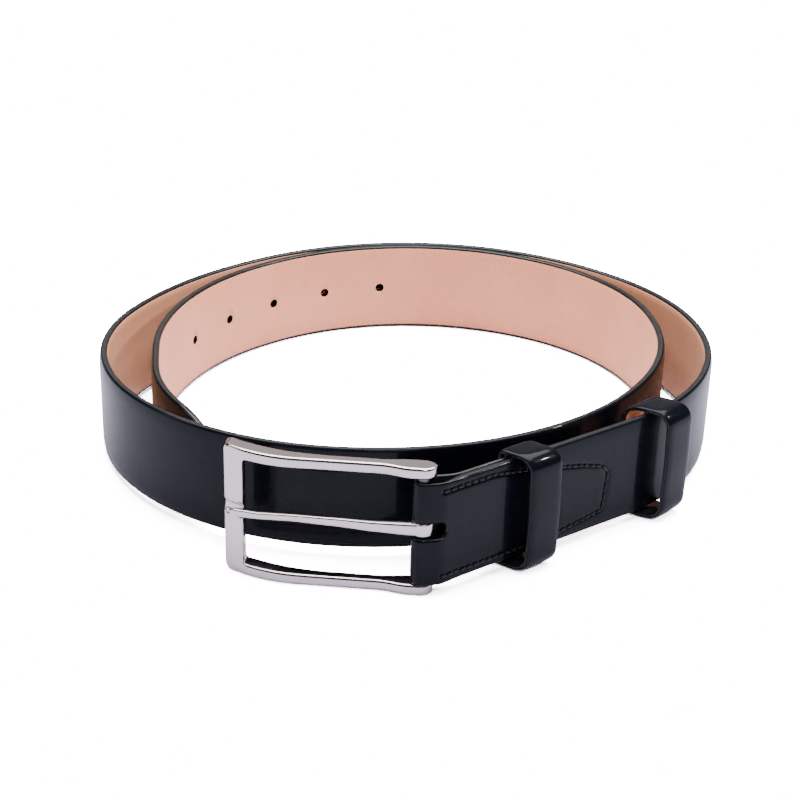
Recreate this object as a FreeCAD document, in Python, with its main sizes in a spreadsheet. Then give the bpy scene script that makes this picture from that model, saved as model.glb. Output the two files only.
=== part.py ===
"""Gentlemen's leather dress belt, rolled up and standing on its edge.

Frame: X to the right, Y away from the buckle's side, Z up. The origin is the centre of the belt's
footprint, on the surface that it stands on. Lengths are millimetres, angles are degrees.

The strap is a sandwich of patent outer leather, filler and lining. Seen from above it is one route of
tangent arcs: out of the turned-back end, round the buckle's heel bar, straight along the sewn tab, then
nearly two turns of the coil to the tip. The right-hand side of the route is the patent face.
"""
import FreeCAD, Part
import math
import os

V = FreeCAD.Vector
doc = FreeCAD.newDocument("leather_belt")

# ---------------------------------------------------------------- driving dimensions
SIZES = [
    # the strap and its layers
    ("strap_width", 35.0), ("outer_thickness", 1.3), ("filler_thickness", 0.6), ("lining_thickness", 1.0),
    ("layer_gap", 0.1), ("hole_diameter", 3.4), ("first_hole_at", 937.7), ("hole_pitch", 23.85),
    ("hole_count", 5), ("tip_radius", 17.5), ("tip_blunting", 6.0),
    # where the heel bar stands, and the heading of the tab that leaves it
    ("bar_place_x", 5.275), ("bar_place_y", -102.31), ("tab_heading", 37.8), ("tab_straight", 84.0),
    ("tab_start", -2.3), ("tab_front_offset", 5.4),
    # the strap's buckle end is carried above the surface by the buckle and the keepers
    ("lift_at_bar", 3.8), ("lift_ends_y", 76.4),
    # the fold round the heel bar
    ("bar_radius", 2.0), ("bar_clearance", 0.1), ("fold_slant", 25.0), ("fold_front_radius", 8.0),
    ("fold_back_radius", 10.0), ("turn_back_end", 75.0), ("turn_back_taper", 34.0),
    ("turn_back_end_width", 26.0), ("slot_height", 6.0), ("slot_end", 5.4), ("slot_rise", 1.6),
    # the buckle
    ("buckle_height", 43.7), ("arm_height", 3.5), ("buckle_heading", -4.5), ("buckle_length", 61.2),
    ("front_bar_width", 6.4), ("front_bar_depth", 4.6), ("arm_depth", 4.0), ("lobe_radius", 3.6),
    ("front_curve_radius", 41.5), ("front_curve_start", 38.0),
    ("prong_rise", 2.0), ("prong_height", 3.2), ("prong_length", 58.6),
    ("prong_ring_radius", 3.5), ("prong_ring_height", 4.2),
    # the keepers: bands of leather with a lining
    ("keeper_width", 12.0), ("keeper_outer_thickness", 1.0), ("keeper_lining_thickness", 0.6),
    ("fixed_keeper_at", 36.8), ("fixed_keeper_front_gap", 4.8), ("fixed_keeper_back_gap", 0.35),
    ("fixed_keeper_bottom", 0.1), ("fixed_keeper_top_gap", 0.8), ("fixed_keeper_skew", 0.35),
    ("fixed_keeper_front_radius", 5.6), ("fixed_keeper_back_radius", 2.2),
    ("free_keeper_at", 93.8), ("free_keeper_front_gap", 5.4), ("free_keeper_back_gap", 5.6),
    ("free_keeper_bottom", 0.1), ("free_keeper_top_gap", 0.7), ("free_keeper_skew", 0.3),
    ("free_keeper_front_radius", 5.8), ("free_keeper_back_radius", 6.2),
    ("staple_width", 7.0), ("staple_wire", 0.6),
    # the tab's stitching
    ("stitch_pitch", 2.4), ("stitch_length", 1.9), ("thread_width", 0.7),
]
# The coil after the straight tab, as (radius of the strap's middle line, turn), end to end.
COIL_ARCS = [(86.0, 97.0), (105.5, 81.5), (127.5, 33.5), (75.0, 57.0), (90.5, 44.5), (106.5, 75.5),
             (94.0, 36.5), (75.0, 46.0), (92.5, 92.5), (100.5, 34.5), (500.0, 2.0), (68.0, 45.0)]

# The seam on the tab, as (distance along the tab from the heel bar, height above the strap's lower edge).
SEAM = [(3.5, 32.0), (22.0, 32.2), (34.0, 30.5), (50.0, 27.0), (60.0, 24.8), (68.0, 22.2), (71.0, 19.6),
        (70.3, 12.5), (69.5, 6.0), (60.0, 4.6), (52.0, 3.6), (34.0, 3.0), (3.5, 2.8)]

sheet = doc.addObject("Spreadsheet::Sheet", "Sizes")
for row, (alias, value) in enumerate(SIZES, start=1):
    sheet.set("A%d" % row, alias)
    sheet.set("B%d" % row, "%g" % value)
    sheet.setAlias("B%d" % row, alias)
doc.recompute()


def size(alias):
    """The value of one driving dimension, read from the sheet."""
    return float(sheet.get(alias))


strap_thickness = size("outer_thickness") + size("filler_thickness") + size("lining_thickness")
strap_width = size("strap_width")
heel = V(size("bar_place_x"), size("bar_place_y"), 0)
tab_heading = math.radians(size("tab_heading"))
tilt_slope = size("lift_at_bar") / (size("lift_ends_y") - size("bar_place_y"))
tilt_angle = math.degrees(math.atan(tilt_slope))


def lift(y):
    """Height of the strap's lower edge above the surface, in the stretch that the buckle carries."""
    return tilt_slope * (size("lift_ends_y") - y)


# ---------------------------------------------------------------- routes seen from above
class Route:
    """Straight runs and tangent arcs, kept as the line of the patent face.

    Each leg is (start point, heading, length, radius); radius 0 is straight, a positive radius turns
    left. offset_edges gives the leg's edges a distance to the left of the patent face.
    """

    def __init__(self, start, heading):
        self.legs = []
        self.point = start
        self.heading = heading

    def straight(self, length):
        self.legs.append((self.point, self.heading, length, 0.0))
        self.point = self.point + V(math.cos(self.heading), math.sin(self.heading), 0) * length
        return self

    def turn(self, radius, degrees):
        """Turn left by degrees, or right where radius and degrees are both negative."""
        sweep = math.radians(degrees)
        self.legs.append((self.point, self.heading, radius * sweep, radius))
        centre = self.point + V(-math.sin(self.heading), math.cos(self.heading), 0) * radius
        self.heading += sweep
        self.point = centre - V(-math.sin(self.heading), math.cos(self.heading), 0) * radius
        return self

    def at(self, distance, offset=0.0):
        """The point at a distance along the route, offset to its left, and the heading there."""
        travelled = 0.0
        for index, (start, heading, length, radius) in enumerate(self.legs):
            last = index == len(self.legs) - 1
            if distance <= travelled + length or last:
                return leg_point(start, heading, radius, distance - travelled, offset)
            travelled += length

    def length(self):
        return sum(leg[2] for leg in self.legs)

    def offset_edges(self, offset, begin=0.0, end=None):
        """Edges of the line at an offset to the left, between two distances along the route."""
        end = self.length() if end is None else end
        edges, travelled = [], 0.0
        for start, heading, length, radius in self.legs:
            first = max(begin - travelled, 0.0)
            last = min(end - travelled, length)
            travelled += length
            if last - first < 1e-6:
                continue
            ends = [leg_point(start, heading, radius, where, offset)[0] for where in (first, last)]
            if radius:
                middle = leg_point(start, heading, radius, (first + last) / 2, offset)[0]
                edges.append(Part.Arc(ends[0], middle, ends[1]).toShape())
            else:
                edges.append(Part.LineSegment(ends[0], ends[1]).toShape())
        return edges


def leg_point(start, heading, radius, distance, offset):
    """A point of one leg, offset to its left, and the heading there."""
    if not radius:
        here = start + V(math.cos(heading), math.sin(heading), 0) * distance
        return here + V(-math.sin(heading), math.cos(heading), 0) * offset, heading
    centre = start + V(-math.sin(heading), math.cos(heading), 0) * radius
    now = heading + distance / radius
    return centre - V(-math.sin(now), math.cos(now), 0) * (radius - offset), now


def tab_point(along, across, height=0.0):
    """A point in the tab's own frame: along the tab from the heel bar, across towards the coil."""
    return heel + V(along * math.cos(tab_heading) - across * math.sin(tab_heading),
                    along * math.sin(tab_heading) + across * math.cos(tab_heading), height)


def fold_route():
    """The patent face from the end of the turned-back leather, round the bar, to the straight tab."""
    slant = math.radians(size("fold_slant"))
    fold_radius = size("bar_radius") + size("bar_clearance") + size("outer_thickness")
    front, back = size("fold_front_radius"), size("fold_back_radius")
    back_face = (size("outer_thickness") + size("layer_gap") + strap_thickness - size("tab_front_offset"))
    front_run = (size("tab_front_offset") - fold_radius * math.cos(slant)
                 - front * (1 - math.cos(slant))) / math.sin(slant)
    back_run = (fold_radius * math.cos(slant) - back_face - back * (1 - math.cos(slant))) / math.sin(slant)
    back_bend = fold_radius * math.sin(slant) + back_run * math.cos(slant) + back * math.sin(slant)
    front_bend = (-fold_radius * math.sin(slant) + front_run * math.cos(slant)
                  + front * math.sin(slant))
    route = Route(tab_point(size("turn_back_end"), back_face), tab_heading + math.pi)
    route.straight(size("turn_back_end") - back_bend)
    route.turn(-back, -size("fold_slant"))
    route.straight(back_run)
    route.turn(fold_radius, 180.0)
    route.straight(front_run)
    route.turn(front, size("fold_slant"))
    return route, front_bend


strap_route, tab_begins = fold_route()
fold_length = strap_route.length()
strap_route.straight(size("tab_straight") + size("tab_start") - tab_begins)
for radius, degrees in COIL_ARCS:
    strap_route.turn(radius + strap_thickness / 2, degrees)
# A distance "from the bar" is counted along the straight tab from the heel bar's own place.
bar_distance = fold_length - tab_begins
tip_distance = strap_route.length()


def lift_end_distance():
    """Where the strap's lower edge comes down to the surface, as a distance along the route."""
    distance = bar_distance + size("tab_straight")
    while strap_route.at(distance, strap_thickness)[0].y < size("lift_ends_y"):
        distance += 0.05
    return distance


level_from = lift_end_distance()


# ---------------------------------------------------------------- small helpers
def body_pad(name, edges, height_alias, base_z=0.0):
    """A PartDesign body: one closed sketch, padded up by a length from the sheet."""
    body = doc.addObject("PartDesign::Body", name)
    sketch = body.newObject("Sketcher::SketchObject", name + "_outline")
    plane = [f for f in body.Origin.OriginFeatures if f.Role == "XY_Plane"][0]
    sketch.AttachmentSupport = [(plane, "")]
    sketch.MapMode = "FlatFace"
    sketch.AttachmentOffset = FreeCAD.Placement(V(0, 0, base_z), FreeCAD.Rotation())
    for edge in edges:
        curve = edge.Curve
        if isinstance(curve, Part.Line):
            piece = Part.LineSegment(edge.Vertexes[0].Point, edge.Vertexes[-1].Point)
        elif isinstance(curve, Part.Circle):
            piece = Part.ArcOfCircle(curve, edge.FirstParameter, edge.LastParameter)
        else:
            piece = curve
        sketch.addGeometry(piece, False)
    pad = body.newObject("PartDesign::Pad", name + "_pad")
    pad.Profile = sketch
    pad.setExpression("Length", "Sizes." + height_alias)
    doc.recompute()
    return body


def ribbon_edges(near, far, begin, end):
    """Closed outline of a layer lying between two offsets from the patent face."""
    right = strap_route.offset_edges(near, begin, end)
    left = strap_route.offset_edges(far, begin, end)
    corner = [strap_route.at(d, o)[0] for d, o in ((begin, near), (end, near), (begin, far), (end, far))]
    caps = [Part.LineSegment(corner[1], corner[3]).toShape(),
            Part.LineSegment(corner[0], corner[2]).toShape()]
    return right + left + caps


def boolean(kind, name, base, *tools):
    """A Part boolean of document objects."""
    result = doc.addObject("Part::" + kind, name)
    if kind in ("Cut", "Common"):
        result.Base = base
        result.Tool = tools[0]
    else:
        result.Shapes = [base] + list(tools)
    doc.recompute()
    return result


def feature(name, shape):
    """A sub-part whose shape is made with Part's own functions."""
    result = doc.addObject("Part::Feature", name)
    result.Shape = shape
    return result


def label(obj, name):
    obj.Label = name
    return obj


def prism(points, direction):
    """A solid prism on a closed polygon."""
    return Part.Face(Part.makePolygon(list(points) + [points[0]])).extrude(direction)


# ---------------------------------------------------------------- the strap
def tilt_slab(name):
    """A slab as thick as the strap is wide, sloping down to the surface at lift_ends_y."""
    slab = doc.addObject("Part::Box", name)
    slab.Length = 400
    slab.Width = 400
    slab.setExpression("Height", "Sizes.strap_width * cos(%.9f)" % tilt_angle)
    turned = FreeCAD.Rotation(V(1, 0, 0), -tilt_angle)
    slab.Placement = FreeCAD.Placement(V(-200, size("lift_ends_y"), 0) - turned.multVec(V(0, 400, 0))
                                       + turned.multVec(V(0, 20, 0)), turned)
    return slab


def strap_layer(name, near, far, begin):
    """One layer of the strap: its lifted stretch, cut to the slope, and its level stretch.

    The lifted stretch runs a little way inside the level one, so that the two make one solid.
    """
    tall = body_pad(name + "_lifted", ribbon_edges(near, far, begin, level_from + 0.4), "buckle_height")
    sloped = boolean("Common", name + "_sloped", tall, tilt_slab(name + "_slab"))
    level = body_pad(name + "_level", ribbon_edges(near, far, level_from, tip_distance), "strap_width")
    whole = boolean("MultiFuse", name + "_whole", sloped, level)
    return boolean("Cut", name + "_cut", whole, strap_cutters(name))


def strap_cutters(name):
    """What every layer loses: the buckle holes and the corners of the tip."""
    tools = []
    for index in range(int(size("hole_count"))):
        where = bar_distance + size("first_hole_at") + index * size("hole_pitch")
        point, heading = strap_route.at(where, -1.0)
        hole = doc.addObject("Part::Cylinder", "%s_hole_%d" % (name, index + 1))
        hole.setExpression("Radius", "Sizes.hole_diameter / 2")
        hole.Height = strap_thickness + 2.0
        inward = V(-math.sin(heading), math.cos(heading), 0)
        hole.Placement = FreeCAD.Placement(point + V(0, 0, strap_width / 2),
                                           FreeCAD.Rotation(V(0, 0, 1), inward))
        tools.append(hole)
    tools.append(feature(name + "_tip_corners", tip_corners()))
    return boolean("MultiFuse", name + "_cutters", *tools)


def tip_corners():
    """The two corners that the tip's rounded outline leaves off the square end."""
    end_point, heading = strap_route.at(tip_distance, -0.3)
    along = V(math.cos(heading), math.sin(heading), 0)
    inward = V(-math.sin(heading), math.cos(heading), 0)
    length, half = size("tip_radius") + size("tip_blunting"), strap_width / 2
    corners = []
    for side in (1, -1):
        def place(back, height):
            return end_point - along * back + V(0, 0, half + side * height)
        outline = [Part.Arc(place(length, half), place(length * 0.32, half * 0.76), place(0, 0)).toShape(),
                   Part.LineSegment(place(0, 0), place(-3, 0)).toShape(),
                   Part.LineSegment(place(-3, 0), place(-3, half + 2)).toShape(),
                   Part.LineSegment(place(-3, half + 2), place(length, half + 2)).toShape(),
                   Part.LineSegment(place(length, half + 2), place(length, half)).toShape()]
        corners.append(Part.Face(Part.Wire(outline)).extrude(inward * (strap_thickness + 6)))
    return Part.makeCompound(corners)


def fold_cutters():
    """The prong's slot through the fold, and the taper of the turned-back end."""
    middle = lift(heel.y) + strap_width / 2 + size("slot_rise")
    half, end = size("slot_height") / 2, size("slot_end")
    slot = Part.makeBox(7 + end - half, 14, 2 * half, V(-7, -7, middle - half))
    slot = slot.fuse(Part.makeCylinder(half, 14, V(end - half, -7, middle), V(0, 1, 0)))
    slot.Placement = FreeCAD.Placement(heel, FreeCAD.Rotation(V(0, 0, 1), size("tab_heading")))
    face = strap_thickness + size("layer_gap") / 2 - size("tab_front_offset")
    across = tab_point(0, 12) - tab_point(0, face)
    wedges = []
    for side in (1, -1):
        def edge(along, half_width):
            at = tab_point(along, face)
            return at + V(0, 0, lift(at.y) + strap_width / 2 + side * half_width)
        wedges.append(prism([edge(size("turn_back_taper"), strap_width / 2),
                             edge(size("turn_back_end"), size("turn_back_end_width") / 2),
                             edge(size("turn_back_end") + 3, size("turn_back_end_width") / 2),
                             edge(size("turn_back_end") + 3, strap_width / 2 + 3),
                             edge(size("turn_back_taper"), strap_width / 2 + 3)], across))
    return Part.makeCompound([slot] + wedges)


outer_far = size("outer_thickness")
filler_far = outer_far + size("filler_thickness")
outer_layer = strap_layer("outer", 0.0, outer_far, 0.0)
strap_outer = label(boolean("Cut", "outer_folded", outer_layer, feature("fold_cutters", fold_cutters())),
                    "strap_outer_leather")
layers_begin = fold_length + 1.0
strap_filler = label(strap_layer("filler", outer_far, filler_far, layers_begin), "strap_filler")
strap_lining = label(strap_layer("lining", filler_far, strap_thickness, layers_begin), "strap_lining")


# ---------------------------------------------------------------- the buckle
buckle_turn = FreeCAD.Rotation(V(0, 0, 1), size("buckle_heading"))
buckle_place = FreeCAD.Placement(heel, buckle_turn)


def front_curve(back):
    """Depth of the buckle's bowed front at a distance back from the heel bar."""
    past = max(back - size("front_curve_start"), 0.0)
    radius = size("front_curve_radius")
    return radius - math.sqrt(radius * radius - past * past) - 1.0


def arm_outline():
    """An arm of the frame seen from above: slim, deep at the front bar, a lobe at the heel."""
    length, start, depth = size("buckle_length"), size("front_curve_start"), size("arm_depth")
    lobe, centre = size("lobe_radius"), V(-1.2, 0.8, 0)
    front_mid = V(-(start + length) / 2, front_curve((start + length) / 2), 0)
    front_end = V(-length, front_curve(length), 0)
    back_end = front_end + V(2.2, 4.6, 0)
    end_bulge = (front_end + back_end) / 2 + V(-0.7, 0.35, 0)
    waist_front, waist_back = V(-9.0, -1.0, 0), V(-13.0, depth - 1.0, 0)
    return [Part.Arc(waist_back, V(-5.6, depth - 0.2, 0), centre + V(-0.6, lobe, 0) * 0.99).toShape(),
            Part.Arc(centre + V(-0.6, lobe, 0) * 0.99, centre + V(lobe, 0, 0),
                     centre + V(-0.6, -lobe, 0) * 0.99).toShape(),
            Part.Arc(centre + V(-0.6, -lobe, 0) * 0.99, V(-5.6, -1.9, 0), waist_front).toShape(),
            Part.LineSegment(waist_front, V(-start, -1.0, 0)).toShape(),
            Part.Arc(V(-start, -1.0, 0), front_mid, front_end).toShape(),
            Part.Arc(front_end, end_bulge, back_end).toShape(),
            Part.LineSegment(back_end, V(-27.0, depth - 1.0, 0)).toShape(),
            Part.LineSegment(V(-27.0, depth - 1.0, 0), waist_back).toShape()]


def front_bar_outline():
    """The front bar seen from above: the bowed end of the arms, as wide as the bar."""
    length, width, depth = size("buckle_length"), size("front_bar_width"), size("front_bar_depth")
    inner = length - width
    front_in = V(-inner, front_curve(inner), 0)
    front_mid = V(-(inner + length) / 2, front_curve(inner + width / 2), 0)
    front_end = V(-length, front_curve(length), 0)
    back_end = front_end + V(2.0, 4.0, 0)
    end_bulge = (front_end + back_end) / 2 + V(-0.5, 0.25, 0)
    back_in = front_in + V(0.8, depth - 0.8, 0)
    return [Part.Arc(front_in, front_mid, front_end).toShape(),
            Part.Arc(front_end, end_bulge, back_end).toShape(),
            Part.LineSegment(back_end, back_in).toShape(),
            Part.LineSegment(back_in, front_in).toShape()]


def moved(edges, place):
    return [edge.transformed(place.toMatrix()) for edge in edges]


def make_buckle():
    """The frame, with a seat for the prong's tip in its front bar, and the bar pressed into its arms."""
    lower = body_pad("lower_arm", moved(arm_outline(), buckle_place), "arm_height")
    upper = body_pad("upper_arm", moved(arm_outline(), buckle_place), "arm_height",
                     size("buckle_height") - size("arm_height"))
    bar = body_pad("front_bar", moved(front_bar_outline(), buckle_place), "buckle_height")
    heel_bar = doc.addObject("Part::Cylinder", "heel_bar")
    heel_bar.setExpression("Radius", "Sizes.bar_radius")
    heel_bar.setExpression("Height", "Sizes.buckle_height - Sizes.arm_height")
    heel_bar.Placement = FreeCAD.Placement(heel + V(0, 0, size("arm_height") / 2), FreeCAD.Rotation())
    frame = boolean("MultiFuse", "frame_fused", lower, upper, bar)
    bored = boolean("Cut", "frame_bored", frame, heel_bar)
    rest = doc.addObject("Part::Cylinder", "prong_rest")
    rest.Radius = 2.3
    rest.Height = 12
    middle = lift(heel.y) + strap_width / 2 + size("prong_rise")
    length = size("buckle_length")
    seat = buckle_place.multVec(V(-length - 1, front_curve(length - 4) - 1.3, middle))
    across_bar = buckle_turn.multVec(V(1, -0.1, 0))
    rest.Placement = FreeCAD.Placement(seat, FreeCAD.Rotation(V(0, 0, 1), across_bar))
    notched = boolean("Cut", "frame_notched", bored, rest)
    return label(notched, "buckle_frame"), label(heel_bar, "heel_bar")


def make_prong():
    """The tongue: a ring round the heel bar and a waved finger that lies on the front bar."""
    middle = lift(heel.y) + strap_width / 2 + size("prong_rise")
    reach, half = size("prong_length"), size("prong_height") / 2
    ring = doc.addObject("Part::Cylinder", "prong_ring")
    ring.setExpression("Radius", "Sizes.prong_ring_radius")
    ring.setExpression("Height", "Sizes.prong_ring_height")
    ring.Placement = FreeCAD.Placement(heel + V(0, 0, middle - size("prong_ring_height") / 2),
                                       FreeCAD.Rotation())
    tip_y = front_curve(reach - 2.5)
    tip_front, tip_back = V(-reach + 1.6, tip_y - 2.5, 0), V(-reach + 0.8, tip_y - 0.5, 0)
    front = Part.BSplineCurve()
    front.interpolate([V(0, -3.4, 0), V(-12, -2.8, 0), V(-27, -0.9, 0), V(-42, 0.1, 0), tip_front])
    back = Part.BSplineCurve()
    back.interpolate([tip_back, V(-50, tip_y - 0.9, 0), V(-40, 2.5, 0), V(-27, 1.7, 0), V(-12, 0.3, 0),
                      V(0, 0.2, 0)])
    tip = Part.Arc(tip_front, V(-reach, tip_y - 1.6, 0), tip_back).toShape()
    close = Part.LineSegment(V(0, 0.2, 0), V(0, -3.4, 0)).toShape()
    outline = Part.Wire([front.toShape(), tip, back.toShape(), close])
    finger = Part.Face(outline).extrude(V(0, 0, 2 * half))
    finger.Placement = FreeCAD.Placement(heel + V(0, 0, middle - half), buckle_turn)
    solid = boolean("MultiFuse", "prong_fused", ring, feature("prong_finger", finger))
    bore = doc.addObject("Part::Cylinder", "prong_bore")
    bore.setExpression("Radius", "Sizes.bar_radius + 0.08")
    bore.Height = 20
    bore.Placement = FreeCAD.Placement(heel + V(0, 0, middle - 10), FreeCAD.Rotation())
    return label(boolean("Cut", "prong_bored", solid, bore), "prong")


buckle_frame, heel_bar = make_buckle()
prong = make_prong()


# ---------------------------------------------------------------- the keepers
def rounded_outline(front, back, bottom, top, front_radius, back_radius):
    """The outline of a band's loop in the plane across the strap: Y is across, Z is up."""
    corners = [(back, bottom, back_radius, -90), (back, top, back_radius, 0),
               (front, top, front_radius, 90), (front, bottom, front_radius, 180)]
    arcs = []
    for across, height, radius, start in corners:
        centre = V(0, across + (radius if across == front else -radius),
                   height + (radius if height == bottom else -radius))
        points = [centre + V(0, math.cos(math.radians(start + turn)), math.sin(math.radians(start + turn)))
                  * radius for turn in (0, 45, 90)]
        arcs.append(Part.Arc(*points).toShape())
    sides = [Part.LineSegment(arcs[i].Vertexes[-1].Point, arcs[(i + 1) % 4].Vertexes[0].Point).toShape()
             for i in range(4)]
    return Part.Face(Part.Wire([edge for pair in zip(arcs, sides) for edge in pair]))


def loop_solid(limits, radii, offset, thickness, half, skew):
    """A band bent into a closed loop, its sides slanted so that the back trails the front.

    limits are the loop's inner faces (front, back, bottom, top); offset moves them outwards.
    """
    faces = []
    for grow in (offset, offset + thickness):
        front, back, bottom, top = limits
        faces.append(rounded_outline(front - grow, back + grow, bottom - grow, top + grow,
                                     radii[0] + grow, radii[1] + grow))
    reach = half + 12.0
    band = faces[1].cut(faces[0]).Faces[0].extrude(V(2 * reach, 0, 0))
    band.translate(V(-reach, 0, 0))
    sides = [V(side * half - skew * across, across, -5) for side, across in
             ((-1, -20), (1, -20), (1, 20), (-1, 20))]
    return band.common(prism(sides, V(0, 0, 60)))


def make_keeper(name, strap_back):
    """A keeper round the strap: patent band outside, lining inside, and the staple that closes it."""
    point, heading = strap_route.at(bar_distance + size(name + "_at"))
    half, skew = size("keeper_width") / 2, size(name + "_skew")
    lining, band = size("keeper_lining_thickness"), size("keeper_outer_thickness")
    limits = (-size(name + "_front_gap"), strap_back + size(name + "_back_gap"),
              size(name + "_bottom") + lining + band, lift(point.y) + strap_width + size(name + "_top_gap"))
    radii = [size(name + side) - lining - band for side in ("_front_radius", "_back_radius")]
    place = FreeCAD.Placement(V(point.x, point.y, 0), FreeCAD.Rotation(V(0, 0, 1), math.degrees(heading)))
    made = []
    for part, offset, thickness in (("lining", 0.0, lining), ("outer", lining, band)):
        shape = loop_solid(limits, radii, offset, thickness, half, skew)
        shape.Placement = place.multiply(shape.Placement)
        made.append(label(feature("%s_%s_shape" % (name, part), shape), "%s_%s" % (name, part)))
    back = limits[1] + lining + band
    return made + [make_staple(name, place, back, (limits[2] + limits[3]) / 2, -skew * back)]


def make_staple(name, place, face, height, shift):
    """The wire staple that closes the loop behind the strap: a crown on the band's outside."""
    wire, width = size("staple_wire"), size("staple_width")
    crown = Part.makeBox(width, wire, wire, V(shift - width / 2, face, height - wire / 2))
    crown = crown.makeFillet(wire * 0.3, [e for e in crown.Edges if along_x(e)])
    crown.Placement = place.multiply(crown.Placement)
    return label(feature(name + "_staple_shape", crown), name + "_staple")


def along_x(edge):
    direction = edge.Vertexes[-1].Point - edge.Vertexes[0].Point
    return abs(direction.x) > 0.99 * direction.Length


turn_back_face = strap_thickness + size("layer_gap") + size("outer_thickness")
fixed_keeper = make_keeper("fixed_keeper", turn_back_face)
free_keeper = make_keeper("free_keeper", strap_thickness)

# ---------------------------------------------------------------- the stitching
def make_stitches():
    """Separate stitches, end to end along the seam, on the patent face and behind the turned-back end."""
    pitch, length, thread = size("stitch_pitch"), size("stitch_length"), size("thread_width")
    solids = []
    for (a0, h0), (a1, h1) in zip(SEAM, SEAM[1:]):
        run = math.hypot(a1 - a0, h1 - h0)
        count = max(int(run / pitch), 1)
        for index in range(count):
            part = (index + 0.5) / count
            along, height = a0 + (a1 - a0) * part, h0 + (h1 - h0) * part
            slope = math.degrees(math.atan2(h1 - h0, a1 - a0))
            front, heading = strap_route.at(bar_distance + along, -thread / 2)
            places = [(front, heading)]
            if along > size("turn_back_taper") * 0.45:
                places.append((tab_point(along, turn_back_face - size("tab_front_offset")), tab_heading))
            for at, heading in places:
                turned = FreeCAD.Rotation(V(0, 0, 1), math.degrees(heading))
                turned = turned.multiply(FreeCAD.Rotation(V(0, 1, 0), -slope))
                stitch = Part.makeBox(length, thread / 2, thread, V(-length / 2, 0, -thread / 2))
                stitch.Placement = FreeCAD.Placement(V(at.x, at.y, lift(at.y) + height), turned)
                solids.append(stitch)
    return label(feature("stitches", Part.makeCompound(solids)), "tab_stitching")


tab_stitching = make_stitches()

# ---------------------------------------------------------------- checks and export
doc.recompute()
PARTS = [strap_outer, strap_filler, strap_lining, tab_stitching, buckle_frame, heel_bar, prong]
PARTS += fixed_keeper + free_keeper
for obj in doc.Objects:
    if "Invalid" in obj.State or "Error" in obj.State:
        raise RuntimeError("failed object: " + obj.Name)
for obj in PARTS:
    if obj.Shape.isNull() or not obj.Shape.isValid():
        raise RuntimeError("bad shape: " + obj.Label)

os.makedirs("parts", exist_ok=True)
for obj in PARTS:
    obj.Shape.exportStep("parts/%s.step" % obj.Label)
whole = Part.makeCompound([obj.Shape for obj in PARTS]).BoundBox
print("route: strap from bar %.1f mm, box %.2f %.2f %.2f to %.2f %.2f %.2f"
      % (tip_distance - bar_distance, whole.XMin, whole.YMin, whole.ZMin, whole.XMax, whole.YMax, whole.ZMax))
for obj in PARTS:
    print("%-22s solids %3d volume %9.1f" % (obj.Label, len(obj.Shape.Solids), obj.Shape.Volume))
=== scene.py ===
"""Looks of the rolled leather dress belt: patent strap and keepers, tan lining, nickel buckle.

Measures are in millimetres here and turned into metres where meshes are made. The frame is the CAD
frame: X to the right, Y away from the buckle's side, Z up, the origin under the middle of the belt.
"""

import bmesh
import bpy
import math
import random
from mathutils import Matrix, Vector


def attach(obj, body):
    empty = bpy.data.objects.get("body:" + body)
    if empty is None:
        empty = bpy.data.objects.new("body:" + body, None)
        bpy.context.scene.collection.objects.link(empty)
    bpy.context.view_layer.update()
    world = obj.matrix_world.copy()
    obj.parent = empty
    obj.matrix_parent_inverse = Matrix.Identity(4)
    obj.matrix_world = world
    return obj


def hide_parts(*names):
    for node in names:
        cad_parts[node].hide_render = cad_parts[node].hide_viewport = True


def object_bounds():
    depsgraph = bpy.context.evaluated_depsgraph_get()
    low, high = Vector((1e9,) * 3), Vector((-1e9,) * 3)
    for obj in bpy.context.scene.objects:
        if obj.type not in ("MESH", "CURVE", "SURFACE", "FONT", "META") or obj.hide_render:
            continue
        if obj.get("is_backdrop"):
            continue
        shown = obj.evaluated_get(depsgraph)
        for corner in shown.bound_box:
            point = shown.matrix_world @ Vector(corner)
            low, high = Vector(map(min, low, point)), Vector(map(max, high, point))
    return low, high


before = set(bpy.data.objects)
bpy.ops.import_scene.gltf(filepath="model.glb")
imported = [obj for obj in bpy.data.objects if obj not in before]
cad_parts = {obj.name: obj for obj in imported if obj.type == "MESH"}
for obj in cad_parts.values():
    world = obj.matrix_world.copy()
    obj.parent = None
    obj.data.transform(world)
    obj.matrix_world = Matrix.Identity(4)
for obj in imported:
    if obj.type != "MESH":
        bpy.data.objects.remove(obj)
bounds_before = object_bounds()
random.seed(7)

# ---------------------------------------------------------------- sizes shared with the model
HEEL = Vector((5.275, -102.31, 0.0))
TAB_HEADING = math.radians(37.8)
STRAP_WIDTH, OUTER, FILLER, LINING, LAYER_GAP = 35.0, 1.3, 0.6, 1.0, 0.1
THICKNESS = OUTER + FILLER + LINING
TAB_FRONT, TAB_START, TAB_STRAIGHT = 5.4, -2.3, 84.0
LIFT_AT_BAR, LIFT_ENDS_Y = 3.8, 76.4
BAR_RADIUS, BAR_CLEARANCE = 2.0, 0.1
SLANT, FRONT_BEND, BACK_BEND = math.radians(25.0), 8.0, 10.0
TURN_BACK_END, TURN_BACK_TAPER, TURN_BACK_WIDTH = 75.0, 34.0, 26.0
COIL_ARCS = [(86.0, 97.0), (105.5, 81.5), (127.5, 33.5), (75.0, 57.0), (90.5, 44.5), (106.5, 75.5),
             (94.0, 36.5), (75.0, 46.0), (92.5, 92.5), (100.5, 34.5), (500.0, 2.0), (68.0, 45.0)]
HOLE_RADIUS, FIRST_HOLE, HOLE_PITCH, HOLE_COUNT = 1.7, 937.7, 23.85, 5
BUCKLE_HEIGHT, ARM_HEIGHT, BUCKLE_LENGTH = 43.7, 3.5, 61.2
BUCKLE_HEADING = math.radians(-4.5)
LIFT_SLOPE = LIFT_AT_BAR / (LIFT_ENDS_Y - HEEL.y)
MIDDLE = LIFT_AT_BAR + STRAP_WIDTH / 2
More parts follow.
